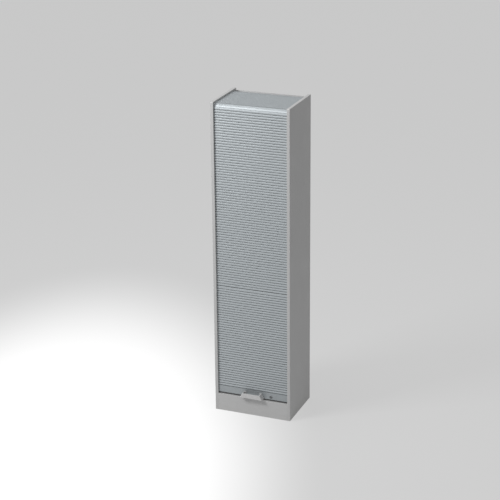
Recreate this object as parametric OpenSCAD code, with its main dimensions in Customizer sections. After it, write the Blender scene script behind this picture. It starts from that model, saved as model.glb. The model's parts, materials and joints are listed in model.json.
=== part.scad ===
// Tall narrow cabinet whose front is closed by a curtain of slats.
// The curtain runs in grooves in the side panels: up the front, over the top and down behind the inner back.
// Lengths are millimetres. X runs to the right, Y to the back and Z up. The cabinet stands on Z = 0.

/* [Carcass] */
// Overall width across the side panels
width = 500; // [420:1:800]
// Depth from the front edge to the rear edge of the side panels
depth = 360; // [345:1:450]
// Height of the side panels
height = 2000; // [1900:1:2300]
// Thickness of the side, top, bottom and plinth boards and of the shelves
board_t = 19; // [18:0.5:22]
// Thickness of the two back boards
back_t = 8; // [6:0.5:9]
// Height of the plinth front
plinth_h = 112; // [100:1:130]
// Radius of the top front corner of a side panel
corner_r = 6; // [4:0.5:9]
// Thickness of the edge band on the front and top edges of a side panel
band_t = 1.5; // [1:0.1:2.5]
// Height from the curtain over the top up to the top edge of the side panels
top_recess = 10; // [9:0.5:16]
// Distance from the curtain back to the front edge of the side panels
front_recess = 10; // [9:0.5:16]

/* [Curtain] */
// Distance from hinge line to hinge line of two slats
slat_pitch = 15.88; // [14:0.02:16.5]
// Height of a slat's crown in front of its hinge line
slat_front = 3.5; // [3.2:0.1:4]
// Depth of a slat behind its hinge line
slat_rear = 3.3; // [2.8:0.1:3.5]
// Width of the visible groove between two slats
slat_gap = 2.9; // [2:0.1:3]
// Height of a slat's front edges above its hinge line
slat_shoulder = 2.2; // [2:0.1:3]
// Radius of the bead on a slat's upper edge
bead_r = 0.9; // [0.7:0.05:1]
// Slats in the lower mat
lower_count = 41; // [20:1:60]
// Height of the profile that joins the lower mat to the upper mat
joint_h = 20.5; // [18:0.5:26]
// Visible groove above the joint profile
joint_gap = 4; // [3:0.1:5]
// Height of the smooth end slat
end_slat_h = 46.5; // [44:0.5:60]
// Height of the seal below the end slat
seal_h = 10; // [8:0.5:14]
// Radius of the hinge line round the front bend
front_bend_r = 21.5; // [21:0.5:26]
// Radius of the hinge line round the rear bend
rear_bend_r = 31.5; // [28:0.5:34]
// Length by which a slat reaches into a side panel
slat_reach = 8; // [6:0.5:9]
// Height of the bar at the far end of the curtain
tail_bar_h = 26; // [20:1:40]

/* [Handle and lock] */
// Width of the handle along its lower edge
handle_w = 150; // [120:1:180]
// Width of the handle along its upper edge
handle_top_w = 115; // [90:1:130]
// Height of the handle
handle_h = 30; // [24:1:34]
// Distance by which the handle stands in front of the side panels
handle_reach = 30; // [24:1:46]
// Wall of the handle
handle_wall = 4; // [3:0.25:5]
// Distance of the lock from the middle of the cabinet
lock_x = 120; // [100:1:135]
// Diameter of the lock barrel
lock_d = 16; // [14:0.5:17]
// Travel of the lock bolt
bolt_throw = 10; // [8:0.5:11]

/* [Shelves and feet] */
// Diameter of a shelf pin
pin_d = 5; // [4:0.5:6]
// Distance between two pin holes
pin_pitch = 32; // [25:1:40]
// Pin holes at each end of a shelf, one above the other
pin_rows = 3; // [1:2:5]
// Diameter of a cam of the board fittings
cam_d = 15; // [12:0.5:18]
// Diameter of a levelling foot
foot_d = 32; // [26:1:40]
// Diameter of a levelling foot's spindle
spindle_d = 8; // [6:0.5:10]

/* [Hidden] */

// One overrun for every cut, and the facets of round pieces
cut = 1;
round_fn = 48;
small_fn = 12;

// General clearances: pieces that slide, pieces that are set in, and a pin in its hole
slide_gap = 0.3;
set_gap = 0.1;
pin_gap = 0.05;

// The origin is under the middle of the whole cabinet, handle included
front_y = -(depth - handle_reach) / 2;
inner_x = width / 2 - board_t;

// Curtain, seen from the side: y is measured back from the front edges of the side panels
slat_y = front_recess + slat_front;
slat_z = height - top_recess - slat_front;
slat_back_y = slat_y + slat_rear;
front_bend_y = slat_y + front_bend_r;
front_bend_z = slat_z - front_bend_r;
rear_gap = 5;
outer_back_y = depth - back_t;
tail_y = outer_back_y - rear_gap - slat_front;
rear_bend_y = tail_y - rear_bend_r;
rear_bend_z = slat_z - rear_bend_r;
front_arc = front_bend_r * PI / 2;
top_run = rear_bend_y - front_bend_y;
rear_arc = rear_bend_r * PI / 2;
slat_end_x = inner_x + slat_reach;

// Joint between two slats
socket_gap = 0.25;
socket_r = bead_r + socket_gap;
socket_wall = 0.6;
socket_outer_r = socket_r + socket_wall;
neck_t = 1.1;
mouth_h = neck_t / 2 + socket_gap;
rear_corner_cut = 1.15;
crown_steps = 6;

// Guide tracks: a plastic channel set into a groove of each side panel
track_wall = 1.2;
track_web = 1;
track_out = slat_front + slide_gap;
track_play = 1.2;
track_in = slat_rear + track_play;
bend_relief = 0.8;
track_depth = slat_reach + track_web + track_web;
track_foot_gap = 1;
tail_stop_h = 8;

// Boards inside
shelf_count = 4;
bottom_z = plinth_h - board_t;
top_board_z = front_bend_z;
board_front_gap = 5;
top_board_y = slat_back_y + board_front_gap;
inner_back_gap = 2.6;
inner_back_y = tail_y - track_in - track_wall - inner_back_gap - back_t;
back_set = 6;
inner_back_top_gap = 3;
outer_back_top_gap = 4;
outer_back_foot = 6;
shelf_gap = 0.5;
shelf_front_gap = 20;
shelf_y = slat_back_y + shelf_front_gap;
shelf_depth = inner_back_y - shelf_gap - shelf_y;
clear_h = (top_board_z - board_t - plinth_h - shelf_count * board_t) / (shelf_count + 1);
fixed_shelf = floor(shelf_count / 2) + 1;

// Heights of the curtain's pieces when it is shut
end_slat_z = plinth_h + seal_h;
mat_z = end_slat_z + end_slat_h;
joint_z = mat_z + lower_count * slat_pitch;
upper_z = joint_z + joint_h;
upper_count = floor((front_bend_z - upper_z) / slat_pitch);
upper_end_z = upper_z + upper_count * slat_pitch;
end_slat_shoulder = 3.2;
end_slat_groove = 3;
glider_side_gap = 0.5;
seal_t = 5;
seal_lip = 3.4;
seal_set = 3;

// Handle
handle_foot_gap = 1;
handle_z = end_slat_z + handle_foot_gap;
handle_foot_t = 2.5;
handle_front = -handle_reach;
handle_back_y = slat_y - end_slat_shoulder;
handle_screw_d = 4;
handle_boss_d = 9;
handle_boss_h = 12;
handle_screw_head_d = 8;
handle_screw_head_t = 2.4;
handle_screw_x = (handle_w + handle_top_w) / 4 - handle_wall - handle_boss_d;

// Lock
lock_z = end_slat_z + lock_d;
lock_flange_w = 1.75;
lock_flange_d = lock_d + 2 * lock_flange_w;
lock_flange_t = 2;
barrel_wall = 2.5;
plug_d = lock_d - 2 * barrel_wall;
plug_gap = 0.05;
plug_proud = 0.6;
key_slot_w = 1.8;
key_slot_h = 6.5;
key_slot_depth = 3;
lock_nut_w = 3.5;
lock_nut_d = lock_d + 2 * lock_nut_w;
lock_nut_t = 2.4;
lock_tail = 1;
cam_t = 2;
peg_r = bolt_throw / sqrt(2);
peg_margin = 3;
cam_disc_d = 2 * (peg_r + peg_margin);
peg_d = 3;
peg_gap = 0.4;
bolt_t = 3;
bolt_w = 12;
bolt_peg_wall = 2.5;
bolt_lift = 1.5;
lock_barrel_y = slat_back_y + lock_nut_t + lock_tail;
cam_y = lock_barrel_y + slide_gap;
bolt_y = cam_y + cam_t + slide_gap;
case_wall = 1.5;
case_w = 34;
case_h = 34;
case_y = bolt_y + bolt_t + slide_gap;
case_z = end_slat_z + seal_set;
case_tab_w = 8;
case_screw_d = 2.5;
case_screw_head_d = 4.5;
case_screw_head_t = 1.5;
strike_w = 34;
strike_edge = 2;
strike_depth = 12;
strike_t = 1.5;

// Board fittings
pin_tab = 11;
pin_tab_w = 9;
pin_tab_t = 2.5;
pin_depth = 8;
pin_hole_spare = 1;
pin_inset = 45;
cam_inset = 24;
cam_depth = 13;
cam_bolt_d = 6;
cam_bolt_set = 11;
cam_row_inset = 75;

// Levelling feet
foot_side = 34;
foot_x = inner_x - foot_side;
foot_inset = 60;
foot_t = 6;
foot_lift = 0.4;
foot_travel = 15;
bracket_w = 44;
bracket_h = 28;
spindle_spare = 4;
hex_d = 4.5;
hex_depth = 6;
cap_d = 16;
cap_t = 1.5;
cap_stem = 10;
bracket_screw_d = 4;
bracket_screw_head_d = 8;
bracket_screw_head_t = 2.5;
bracket_screw_set = 12;

// Screws that hold the outer back to the plinth and to rails of the side panels
back_screw_d = 3.5;
back_screw_head_d = 7;
back_screw_head_t = 2;
back_screw_set = 14;
back_screw_edge = 40;

// Colours, as the finished pieces look
board_colour = "#a9a9a9";
band_colour = "#b9b9b9";
curtain_colour = "#9da7ab";
inside_colour = "#c4c4c2";
metal_colour = "#8b8e90";
dark_colour = "#3a3c3e";

// Helpers. They take y back from the front edges of the side panels.
module block(x, y, z) {
    translate([x[0], front_y + y[0], z[0]])
        cube([x[1] - x[0], y[1] - y[0], z[1] - z[0]]);
}

module rod_x(x, y, z, d) {
    translate([x[0], front_y + y, z])
        rotate([0, 90, 0])
            cylinder(d = d, h = x[1] - x[0], $fn = round_fn);
}

module rod_y(x, y, z, d) {
    translate([x, front_y + y[0], z])
        rotate([-90, 0, 0])
            cylinder(d = d, h = y[1] - y[0], $fn = round_fn);
}

module rod_z(x, y, z, d) {
    translate([x, front_y + y, z[0]])
        cylinder(d = d, h = z[1] - z[0], $fn = round_fn);
}

// Extrudes a side view, drawn as (y, z), from one x to another
module across(x) {
    translate([x[0], front_y, 0])
        rotate([90, 0, 90])
            linear_extrude(x[1] - x[0])
                children();
}

module both_sides() {
    children();
    mirror([1, 0, 0])
        children();
}

// Path of the hinge line. s is 0 where the front bend starts and grows up and over the top.
function path(s) =
    s < 0 ? [slat_y, front_bend_z + s] :
    s < front_arc ? front_arc_point(s / front_bend_r * 180 / PI) :
    s < front_arc + top_run ? [front_bend_y + s - front_arc, slat_z] :
    s < front_arc + top_run + rear_arc ? rear_arc_point((s - front_arc - top_run) / rear_bend_r * 180 / PI) :
    [tail_y, rear_bend_z - (s - front_arc - top_run - rear_arc)];
function front_arc_point(a) = [front_bend_y - front_bend_r * cos(a), front_bend_z + front_bend_r * sin(a)];
function rear_arc_point(a) = [rear_bend_y + rear_bend_r * sin(a), rear_bend_z + rear_bend_r * cos(a)];

// The next hinge lies one pitch away in a straight line, because a slat doesn't bend
search_share = 1.5;
search_steps = 40;
function next_hinge(s) = search(s, s, s + slat_pitch * search_share, search_steps);
function search(s, low, high, steps) =
    steps == 0 ? (low + high) / 2 :
    norm(path((low + high) / 2) - path(s)) < slat_pitch ? search(s, (low + high) / 2, high, steps - 1) :
    search(s, low, (low + high) / 2, steps - 1);
function hinges(s) = s > front_arc + top_run + rear_arc ? [s] : concat([s], hinges(next_hinge(s)));
hinge_list = hinges(upper_end_z - front_bend_z);
last_hinge = len(hinge_list) - 1;
tail_z = path(hinge_list[last_hinge])[1];

// Curtain profiles, drawn with the direction of travel along x and the visible face towards +y
function crown(length, gap_end, i) =
    let (w = slat_gap / 2 + (length - slat_gap / 2 - gap_end / 2) * i / crown_steps)
    let (t = 2 * i / crown_steps - 1)
    [w, slat_shoulder + (slat_front - slat_shoulder) * (1 - t * t)];

module slat_profile(length, gap_end) {
    difference() {
        union() {
            difference() {
                polygon(concat(
                    [for (i = [crown_steps : -1 : 0]) crown(length, gap_end, i)],
                    [
                        [slat_gap / 2, -slat_rear],
                        [length - gap_end / 2 - rear_corner_cut, -slat_rear],
                        [length - gap_end / 2, 0]
                    ]
                ));
                translate([length, 0])
                    circle(socket_outer_r + socket_gap, $fn = small_fn);
            }
            circle(socket_outer_r, $fn = small_fn);
            bead(length, gap_end);
        }
        socket_cut();
    }
}

module bead(length, gap_end) {
    translate([length, 0])
        circle(bead_r, $fn = small_fn);
    neck = gap_end + socket_outer_r;
    translate([length - neck, -neck_t / 2])
        square([neck, neck_t]);
}

module socket_cut() {
    circle(socket_r, $fn = small_fn);
    translate([-socket_outer_r - cut, -socket_outer_r - cut])
        square([socket_outer_r + cut, socket_outer_r + cut + mouth_h]);
}

module slat_between(a, b) {
    travel = b - a;
    across([-slat_end_x, slat_end_x])
        translate(a)
            rotate(atan2(travel[1], travel[0]))
                slat_profile(slat_pitch, slat_gap);
}

module slat_run(first, last) {
    color(curtain_colour)
        for (i = [first : last])
            slat_between(path(hinge_list[i]), path(hinge_list[i + 1]));
}

module straight_slats(z, count) {
    color(curtain_colour)
        for (i = [0 : count - 1])
            slat_between([slat_y, z + i * slat_pitch], [slat_y, z + (i + 1) * slat_pitch]);
}

// Side view of the curtain's channel, from out in front of the hinge line to in behind it
module channel(out, in, relief, foot_z, tail_foot_z) {
    translate([slat_y - out, foot_z])
        square([out + in, front_bend_z - foot_z]);
    translate([front_bend_y, front_bend_z])
        intersection() {
            bend(front_bend_r + out, front_bend_r - in - relief);
            translate([-front_bend_r - out, 0])
                square(front_bend_r + out);
        }
    translate([front_bend_y, slat_z - in])
        square([top_run, in + out]);
    translate([rear_bend_y, rear_bend_z])
        intersection() {
            bend(rear_bend_r + out, rear_bend_r - in - relief);
            square(rear_bend_r + out);
        }
    translate([tail_y - in, tail_foot_z])
        square([out + in, rear_bend_z - tail_foot_z]);
}

module bend(outer, inner) {
    difference() {
        circle(outer, $fn = round_fn);
        circle(inner, $fn = round_fn);
    }
}

// Outline of a side panel, set back by an inset at the front and the top
module panel_outline(inset) {
    r = corner_r - inset;
    difference() {
        translate([inset, 0])
            square([depth - inset, height - inset]);
        translate([inset - cut, height - corner_r])
            square([r + cut, corner_r + cut]);
    }
    translate([corner_r, height - corner_r])
        circle(r, $fn = round_fn);
}

track_foot_z = plinth_h + track_foot_gap;
tail_foot_z = plinth_h + tail_stop_h;

module side_panel() {
    color(board_colour)
        difference() {
            across([inner_x, inner_x + board_t])
                panel_outline(band_t);
            across([inner_x - cut, inner_x + track_depth + set_gap])
                channel(track_out + track_wall + set_gap, track_in + track_wall + set_gap, bend_relief,
                    track_foot_z - set_gap, tail_foot_z - set_gap);
            block([inner_x - cut, inner_x + back_set], [outer_back_y - set_gap, depth + cut],
                [outer_back_foot - set_gap, height - top_recess - outer_back_top_gap + set_gap]);
            block([inner_x - cut, inner_x + back_set], [inner_back_y - set_gap, inner_back_y + back_t + set_gap],
                [bottom_z - set_gap, top_board_z - inner_back_top_gap + set_gap]);
            for (y = pin_ys)
                for (z = pin_hole_zs)
                    rod_x([inner_x - cut, inner_x + pin_depth + pin_hole_spare], y, z, pin_d + 2 * pin_gap);
            for (y = cam_ys)
                for (z = cam_zs)
                    rod_x([inner_x - cut, inner_x + cam_bolt_set + set_gap], y, z, cam_bolt_d + 2 * set_gap);
            for (y = foot_ys)
                for (z = bracket_screw_zs)
                    rod_x([inner_x - cut, inner_x + bracket_screw_set + set_gap], y, z, bracket_screw_d + 2 * set_gap);
        }
}

module edge_band() {
    color(band_colour)
        across([inner_x, inner_x + board_t])
            difference() {
                panel_outline(0);
                panel_outline(band_t);
            }
}

module right_side_panel() {
    side_panel();
}

module left_side_panel() {
    mirror([1, 0, 0])
        side_panel();
}

module right_edge_band() {
    edge_band();
}

module left_edge_band() {
    mirror([1, 0, 0])
        edge_band();
}

// Where the pins, cams and feet are
shelf_zs = [for (i = [1 : shelf_count]) plinth_h + i * clear_h + (i - 1) * board_t];
pin_ys = [shelf_y + pin_inset, shelf_y + shelf_depth - pin_inset];
pin_reach = (pin_rows - 1) / 2;
pin_shelves = [for (i = [0 : shelf_count - 1]) if (i != fixed_shelf - 1) i];
pin_zs = [for (i = pin_shelves) shelf_zs[i] - pin_tab_t / 2];
pin_hole_zs = [for (z = pin_zs) for (k = [-pin_reach : pin_reach]) z + k * pin_pitch];
cam_ys = [shelf_y + cam_row_inset, inner_back_y - cam_row_inset];
cam_boards_z = [bottom_z, top_board_z - board_t, shelf_zs[fixed_shelf - 1]];
cam_zs = [for (z = cam_boards_z) z + board_t / 2];
foot_ys = [foot_inset, inner_back_y - foot_inset];
bracket_screw_shares = [0.25, 0.75];
bracket_screw_zs = [for (share = bracket_screw_shares) bottom_z - bracket_h * share];

// Pockets that a board fitting needs in the ends of a board whose underside is at z
module cam_pockets(z) {
    both_sides()
        for (y = cam_ys) {
            rod_z(inner_x - cam_inset, y, [z - cut, z + cam_depth + set_gap], cam_d + 2 * set_gap);
            rod_x([inner_x - cam_inset, inner_x + cut], y, z + board_t / 2, cam_bolt_d + 2 * set_gap);
        }
}

module top_board() {
    z = top_board_z - board_t;
    color(inside_colour)
        difference() {
            block([-inner_x, inner_x], [top_board_y, inner_back_y], [z, top_board_z]);
            cam_pockets(z);
        }
}

module bottom_board() {
    color(inside_colour)
        difference() {
            block([-inner_x, inner_x], [board_t, inner_back_y], [bottom_z, plinth_h]);
            cam_pockets(bottom_z);
            for (y = foot_ys)
                both_sides()
                    rod_z(foot_x, y, [bottom_z - cut, plinth_h + cut], cap_stem + 2 * slide_gap);
            strike_pocket(set_gap);
            bolt_hole(bottom_z + strike_t, strike_hole_gap);
        }
}

module plinth_front() {
    color(board_colour)
        block([-inner_x, inner_x], [0, board_t], [0, plinth_h]);
}

module plinth_rear() {
    color(board_colour)
        difference() {
            block([-inner_x, inner_x], [outer_back_y - board_t, outer_back_y], [0, bottom_z]);
            for (x = back_screw_xs)
                rod_y(x, [outer_back_y - back_screw_set, outer_back_y + cut], bottom_z / 2,
                    back_screw_d + 2 * set_gap);
        }
}

module inner_back() {
    color(inside_colour)
        block([-inner_x - back_set + set_gap, inner_x + back_set - set_gap],
            [inner_back_y, inner_back_y + back_t], [bottom_z, top_board_z - inner_back_top_gap]);
}

back_screw_xs = [-inner_x + back_screw_edge, 0, inner_x - back_screw_edge];

module outer_back() {
    top_z = height - top_recess - outer_back_top_gap;
    color(board_colour)
        difference() {
            block([-inner_x - back_set + set_gap, inner_x + back_set - set_gap],
                [outer_back_y, depth], [outer_back_foot, top_z]);
            for (x = back_screw_xs) {
                rod_y(x, [outer_back_y - cut, depth + cut], bottom_z / 2, back_screw_d + 2 * set_gap);
                rod_y(x, [depth - back_screw_head_t, depth + cut], bottom_z / 2, back_screw_head_d + 2 * set_gap);
            }
        }
}

module back_screws() {
    color(metal_colour)
        for (x = back_screw_xs) {
            rod_y(x, [outer_back_y - back_screw_set + set_gap, depth], bottom_z / 2, back_screw_d);
            rod_y(x, [depth - back_screw_head_t, depth], bottom_z / 2, back_screw_head_d);
        }
}

module guide_track() {
    color(band_colour)
        difference() {
            across([inner_x, inner_x + track_depth])
                channel(track_out + track_wall, track_in + track_wall, bend_relief, track_foot_z, tail_foot_z);
            across([inner_x - cut, inner_x + track_depth - track_web])
                channel(track_out, track_in, bend_relief, track_foot_z - cut, tail_foot_z + track_wall);
        }
}

module right_guide_track() {
    guide_track();
}

module left_guide_track() {
    mirror([1, 0, 0])
        guide_track();
}

module lower_slats() {
    straight_slats(mat_z, lower_count);
}

module joint_profile() {
    color(curtain_colour)
        across([-slat_end_x, slat_end_x])
            translate([slat_y, joint_z])
                rotate(90)
                    slat_profile(joint_h, joint_gap);
}

module upper_slats() {
    straight_slats(upper_z, upper_count);
}

// The slats over the top, parted where the front bend ends and where the rear bend starts
bend_last = len([for (s = hinge_list) if (s < front_arc) s]) - 1;
top_last = len([for (s = hinge_list) if (s < front_arc + top_run - slat_pitch) s]) - 1;

module front_bend_slats() {
    slat_run(0, bend_last);
}

module top_slats() {
    slat_run(bend_last + 1, top_last);
}

module rear_slats() {
    slat_run(top_last + 1, last_hinge - 1);
}

module tail_bar() {
    color(curtain_colour)
        across([-slat_end_x, slat_end_x])
            translate([tail_y, tail_z])
                rotate(-90)
                    difference() {
                        union() {
                            translate([slat_gap / 2, -slat_rear])
                                square([tail_bar_h - slat_gap / 2, slat_rear + slat_shoulder]);
                            circle(socket_outer_r, $fn = small_fn);
                        }
                        socket_cut();
                    }
}

// The end slat's section, from its seal groove up to the bead that carries the lowest slat
module end_slat_section() {
    difference() {
        union() {
            difference() {
                translate([0, -slat_rear])
                    square([end_slat_h - slat_gap / 2, slat_rear + end_slat_shoulder]);
                translate([end_slat_h, 0])
                    circle(socket_outer_r + socket_gap, $fn = small_fn);
            }
            bead(end_slat_h, slat_gap);
        }
        translate([-cut, -seal_lip / 2])
            square([cut + seal_set + slide_gap, seal_lip]);
    }
}

module end_slat() {
    color(curtain_colour)
        difference() {
            across([-inner_x + glider_side_gap, inner_x - glider_side_gap])
                translate([slat_y, end_slat_z])
                    rotate(90)
                        end_slat_section();
            rod_y(lock_x, [slat_y - end_slat_shoulder - cut, slat_back_y + cut], lock_z, lock_d + 2 * set_gap);
            both_sides()
                rod_y(handle_screw_x, [slat_y - end_slat_shoulder - cut, slat_back_y + cut],
                    handle_z + handle_boss_h, handle_screw_d + 2 * set_gap);
            case_screws_at(slat_back_y - end_slat_groove, slat_back_y + cut, case_screw_d + 2 * set_gap);
        }
}

// A glider closes each end of the end slat and runs in the guide track
module end_slat_gliders() {
    color(dark_colour)
        both_sides()
            across([inner_x - glider_side_gap, slat_end_x])
                translate([slat_y, end_slat_z])
                    rotate(90)
                        translate([seal_set, -slat_rear])
                            square([end_slat_h - slat_gap - seal_set, slat_rear + end_slat_shoulder]);
}

module bottom_seal() {
    color(dark_colour)
        across([-inner_x + glider_side_gap, inner_x - glider_side_gap])
            translate([slat_y, end_slat_z])
                rotate(90) {
                    translate([-seal_h + slide_gap, -seal_t / 2])
                        square([seal_h - slide_gap, seal_t]);
                    translate([0, -seal_lip / 2 + set_gap])
                        square([seal_set, seal_lip - 2 * set_gap]);
                }
}

// Handle: a bow that stands off the end slat, narrower at the top, open behind from above and from below
module handle_front_view(inset) {
    polygon([
        [-handle_w / 2 + inset, 0],
        [handle_w / 2 - inset, 0],
        [handle_top_w / 2 - inset, handle_h],
        [-handle_top_w / 2 + inset, handle_h]
    ]);
}

module standing(y, z) {
    translate([0, front_y + y[1], z])
        rotate([90, 0, 0])
            linear_extrude(y[1] - y[0])
                children();
}

module handle() {
    color(band_colour)
        difference() {
            union() {
                standing([handle_front, handle_front + handle_wall], handle_z)
                    handle_front_view(0);
                standing([handle_front, handle_back_y], handle_z)
                    difference() {
                        handle_front_view(0);
                        handle_middle();
                    }
                standing([handle_back_y - handle_foot_t, handle_back_y], handle_z)
                    difference() {
                        handle_front_view(0);
                        handle_foot_window();
                    }
                both_sides()
                    rod_y(handle_screw_x, [handle_back_y - handle_boss_h, handle_back_y], handle_z + handle_boss_h,
                        handle_boss_d);
            }
            both_sides()
                rod_y(handle_screw_x, [handle_back_y - handle_boss_h + handle_wall, handle_back_y + cut],
                    handle_z + handle_boss_h, handle_screw_d + 2 * set_gap);
        }
}

// The open middle of the handle, one wall inside its slanted ends
module handle_middle() {
    slant = (handle_w - handle_top_w) / 2 / handle_h;
    low = handle_w / 2 - handle_wall + slant * cut;
    high = handle_top_w / 2 - handle_wall - slant * cut;
    polygon([[-low, -cut], [low, -cut], [high, handle_h + cut], [-high, handle_h + cut]]);
}

// The gap between the handle's two feet
module handle_foot_window() {
    half = handle_screw_x - handle_boss_d;
    translate([-half, -cut])
        square([2 * half, handle_h + 2 * cut]);
}

module handle_screws() {
    color(metal_colour)
        both_sides() {
            rod_y(handle_screw_x, [handle_back_y - handle_boss_h + handle_wall + set_gap, slat_back_y + set_gap],
                handle_z + handle_boss_h, handle_screw_d);
            rod_y(handle_screw_x, [slat_back_y, slat_back_y + handle_screw_head_t], handle_z + handle_boss_h,
                handle_screw_head_d);
        }
}

// Lock: a barrel through the end slat, a plug that turns in it, and a cam whose peg drives the bolt down
barrel_front_y = slat_y - end_slat_shoulder - lock_flange_t;

module lock_barrel() {
    color(metal_colour)
        difference() {
            union() {
                rod_y(lock_x, [barrel_front_y, barrel_front_y + lock_flange_t], lock_z, lock_flange_d);
                rod_y(lock_x, [barrel_front_y, lock_barrel_y], lock_z, lock_d);
            }
            rod_y(lock_x, [barrel_front_y - cut, lock_barrel_y + cut], lock_z, plug_d + 2 * plug_gap);
        }
}

module lock_nut() {
    color(metal_colour)
        difference() {
            rod_y(lock_x, [slat_back_y, slat_back_y + lock_nut_t], lock_z, lock_nut_d);
            rod_y(lock_x, [slat_back_y - cut, slat_back_y + lock_nut_t + cut], lock_z, lock_d + 2 * pin_gap);
        }
}

module lock_plug() {
    front = barrel_front_y - plug_proud;
    color(metal_colour)
        difference() {
            rod_y(lock_x, [front, cam_y], lock_z, plug_d);
            block([lock_x - key_slot_w / 2, lock_x + key_slot_w / 2], [front - cut, front + key_slot_depth],
                [lock_z - key_slot_h / 2, lock_z + key_slot_h / 2]);
        }
}

module lock_cam() {
    color(metal_colour) {
        rod_y(lock_x, [cam_y, cam_y + cam_t], lock_z, cam_disc_d);
        rod_y(lock_x + peg_r / sqrt(2), [cam_y, bolt_y + bolt_t], lock_z + peg_r / sqrt(2), peg_d);
    }
}

module lock_bolt() {
    slot_x = lock_x + peg_r / sqrt(2) - peg_d / 2 - peg_gap;
    slot_w = peg_r - peg_r / sqrt(2) + peg_d + 2 * peg_gap;
    slot_z = lock_z + peg_r / sqrt(2) - peg_d / 2 - peg_gap;
    slot_h = peg_d + 2 * peg_gap;
    right = slot_x + slot_w + bolt_peg_wall;
    color(metal_colour)
        difference() {
            block([right - bolt_w, right], [bolt_y, bolt_y + bolt_t],
                [plinth_h + bolt_lift, slot_z + slot_h + bolt_peg_wall]);
            block([slot_x, slot_x + slot_w], [bolt_y - cut, bolt_y + bolt_t + cut], [slot_z, slot_z + slot_h]);
        }
}

bolt_right = lock_x + peg_r + peg_d / 2 + peg_gap + bolt_peg_wall;
strike_hole_gap = 0.6;

module bolt_hole(z, gap) {
    block([bolt_right - bolt_w - gap, bolt_right + gap], [bolt_y - gap, bolt_y + bolt_t + gap], [z, plinth_h + cut]);
}

module strike_pocket(gap) {
    block([lock_x - strike_w / 2 - gap, lock_x + strike_w / 2 + gap],
        [board_t + strike_edge - gap, board_t + strike_edge + strike_depth + gap],
        [plinth_h - strike_t - gap, plinth_h + cut]);
}

module strike_plate() {
    color(metal_colour)
        difference() {
            intersection() {
                strike_pocket(0);
                block([-inner_x, inner_x], [0, depth], [0, plinth_h]);
            }
            bolt_hole(bottom_z, strike_hole_gap);
        }
}

// The case holds the bolt behind the end slat. Its two tabs are screwed to the slat.
module lock_case() {
    x = [lock_x - case_w / 2, lock_x + case_w / 2];
    z = [case_z, case_z + case_h];
    color(dark_colour)
        difference() {
            union() {
                block(x, [slat_back_y, case_y + case_wall], z);
                block([x[0] - case_tab_w, x[1] + case_tab_w], [slat_back_y, slat_back_y + case_wall], z);
            }
            block([x[0] + case_wall, x[1] - case_wall], [slat_back_y - cut, case_y],
                [z[0] + case_wall, z[1] - case_wall]);
            block([bolt_right - bolt_w - slide_gap, bolt_right + slide_gap],
                [bolt_y - slide_gap, bolt_y + bolt_t + slide_gap], [z[0] - cut, z[0] + case_wall + cut]);
            case_screws_at(slat_back_y - cut, slat_back_y + case_wall + cut, case_screw_d + 2 * set_gap);
        }
}

module case_screws_at(y0, y1, d) {
    for (side = [-1, 1])
        rod_y(lock_x + side * (case_w + case_tab_w) / 2, [y0, y1], case_z + case_h / 2, d);
}

module lock_case_screws() {
    color(metal_colour) {
        case_screws_at(slat_back_y - end_slat_groove + set_gap, slat_back_y + case_wall + set_gap, case_screw_d);
        case_screws_at(slat_back_y + case_wall, slat_back_y + case_wall + case_screw_head_t, case_screw_head_d);
    }
}

module shelf(i) {
    z = shelf_zs[i - 1];
    gap = i == fixed_shelf ? 0 : shelf_gap;
    color(inside_colour)
        difference() {
            block([-inner_x + gap, inner_x - gap], [shelf_y, shelf_y + shelf_depth], [z, z + board_t]);
            if (i == fixed_shelf)
                cam_pockets(z);
        }
}

module shelf_1() {
    shelf(1);
}

module shelf_2() {
    shelf(2);
}

module shelf_3() {
    shelf(3);
}

module shelf_4() {
    shelf(4);
}

// A pin sits in a hole of the side panel, and the shelf lies on its flat tab
module shelf_pins() {
    color(metal_colour)
        both_sides()
            for (y = pin_ys)
                for (z = pin_zs) {
                    rod_x([inner_x - set_gap, inner_x + pin_depth], y, z, pin_d);
                    block([inner_x - pin_tab, inner_x - set_gap], [y - pin_tab_w / 2, y + pin_tab_w / 2],
                        [z - pin_tab_t / 2, z + pin_tab_t / 2]);
                }
}

module cams() {
    color(metal_colour)
        both_sides()
            for (y = cam_ys)
                for (z = cam_boards_z)
                    difference() {
                        rod_z(inner_x - cam_inset, y, [z, z + cam_depth], cam_d);
                        rod_x([inner_x - cam_inset - set_gap, inner_x], y, z + board_t / 2, cam_bolt_d + 2 * set_gap);
                    }
}

module cam_bolts() {
    color(metal_colour)
        both_sides()
            for (y = cam_ys)
                for (z = cam_zs)
                    rod_x([inner_x - cam_inset, inner_x + cam_bolt_set], y, z, cam_bolt_d);
}

// Levelling feet stand in brackets under the bottom board and are turned through its holes
module foot(x, y) {
    top = bottom_z - spindle_spare;
    color(metal_colour)
        difference() {
            union() {
                rod_z(x, y, [foot_lift, foot_lift + foot_t], foot_d);
                rod_z(x, y, [foot_lift, top], spindle_d);
            }
            translate([x, front_y + y, top - hex_depth])
                cylinder(d = hex_d, h = hex_depth + cut, $fn = 6);
        }
}

module foot_front_left() {
    foot(-foot_x, foot_ys[0]);
}

module foot_front_right() {
    foot(foot_x, foot_ys[0]);
}

module foot_rear_left() {
    foot(-foot_x, foot_ys[1]);
}

module foot_rear_right() {
    foot(foot_x, foot_ys[1]);
}

module foot_brackets() {
    color(dark_colour)
        both_sides()
            for (y = foot_ys)
                difference() {
                    block([foot_x - bracket_w / 2, inner_x], [y - bracket_w / 2, y + bracket_w / 2],
                        [bottom_z - bracket_h, bottom_z]);
                    rod_z(foot_x, y, [bottom_z - bracket_h - cut, bottom_z + cut], spindle_d + 2 * pin_gap);
                    for (z = bracket_screw_zs)
                        rod_x([foot_x + spindle_d, inner_x + cut], y, z, bracket_screw_d + 2 * set_gap);
                }
}

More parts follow.
